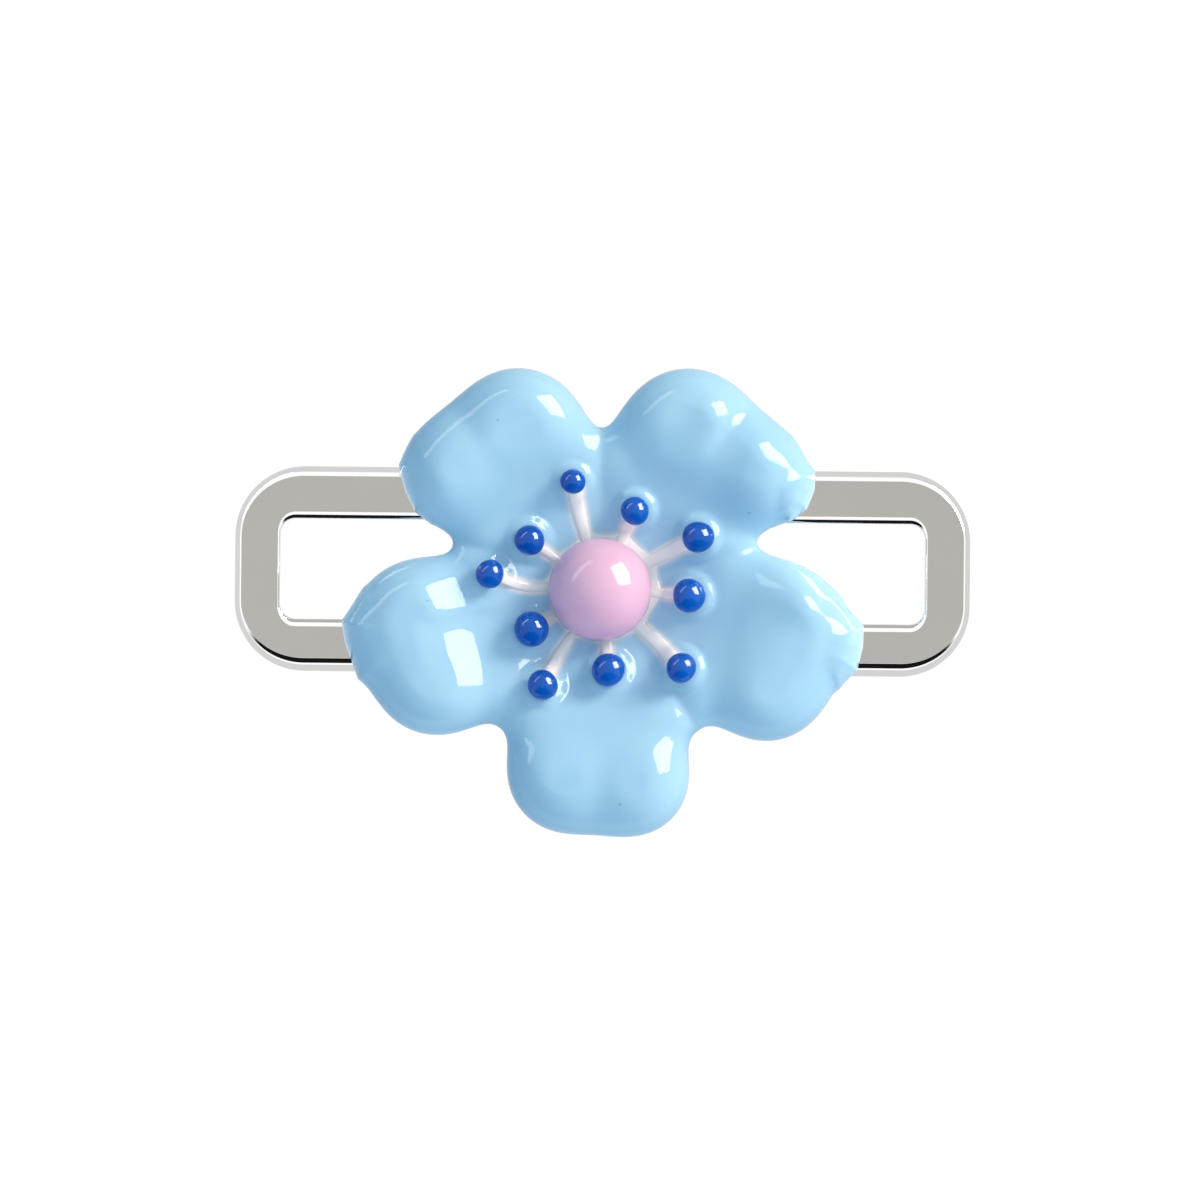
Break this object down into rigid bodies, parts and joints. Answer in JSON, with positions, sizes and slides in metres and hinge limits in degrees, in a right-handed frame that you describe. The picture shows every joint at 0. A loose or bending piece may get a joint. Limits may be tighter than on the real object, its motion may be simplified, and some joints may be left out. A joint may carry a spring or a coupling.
{
  "type": "lace slide ornament",
  "caption": "Polished rounded-rectangle slide frame for a flat lace, ribbon or band, with an enamelled flower, bead centre and stamens fixed on its front.",
  "frame": {"origin": "middle of the frame on its flat back face, which is the middle of the lace's way through", "axes": "+X along the frame, which is the lace's way through; +Y across the frame towards the flower's two-petal end; +Z out of the flower's front"},
  "size_m": [0.044, 0.0279, 0.0071],
  "materials": {
    "polished_metal": "mirror polished plate",
    "cast_metal": "plated casting, satin",
    "blue_enamel": "thick high-gloss lacquer",
    "pink_lacquer": "high-gloss lacquer",
    "white_lacquer": "high-gloss lacquer",
    "lacquered_wire": "lacquered wire",
    "dark_blue_lacquer": "high-gloss lacquer",
    "post_metal": "drawn wire",
    "solder": "silver solder, plated over"
  },
  "bodies": {
    "root": {"frame": "polished_metal", "petal_blank": "cast_metal", "petal_enamel": "blue_enamel", "bead_post": "post_metal", "stamen_hub": "white_lacquer", "centre_bead": "pink_lacquer", "filament_1": "lacquered_wire", "filament_2": "lacquered_wire", "filament_3": "lacquered_wire", "filament_4": "lacquered_wire", "filament_5": "lacquered_wire", "filament_6": "lacquered_wire", "filament_7": "lacquered_wire", "filament_8": "lacquered_wire", "filament_9": "lacquered_wire", "filament_10": "lacquered_wire", "anther_1": "dark_blue_lacquer", "anther_2": "dark_blue_lacquer", "anther_3": "dark_blue_lacquer", "anther_4": "dark_blue_lacquer", "anther_5": "dark_blue_lacquer", "anther_6": "dark_blue_lacquer", "anther_7": "dark_blue_lacquer", "anther_8": "dark_blue_lacquer", "anther_9": "dark_blue_lacquer", "anther_10": "dark_blue_lacquer", "solder_upper": "solder", "solder_lower": "solder"}
  },
  "joints": []
}
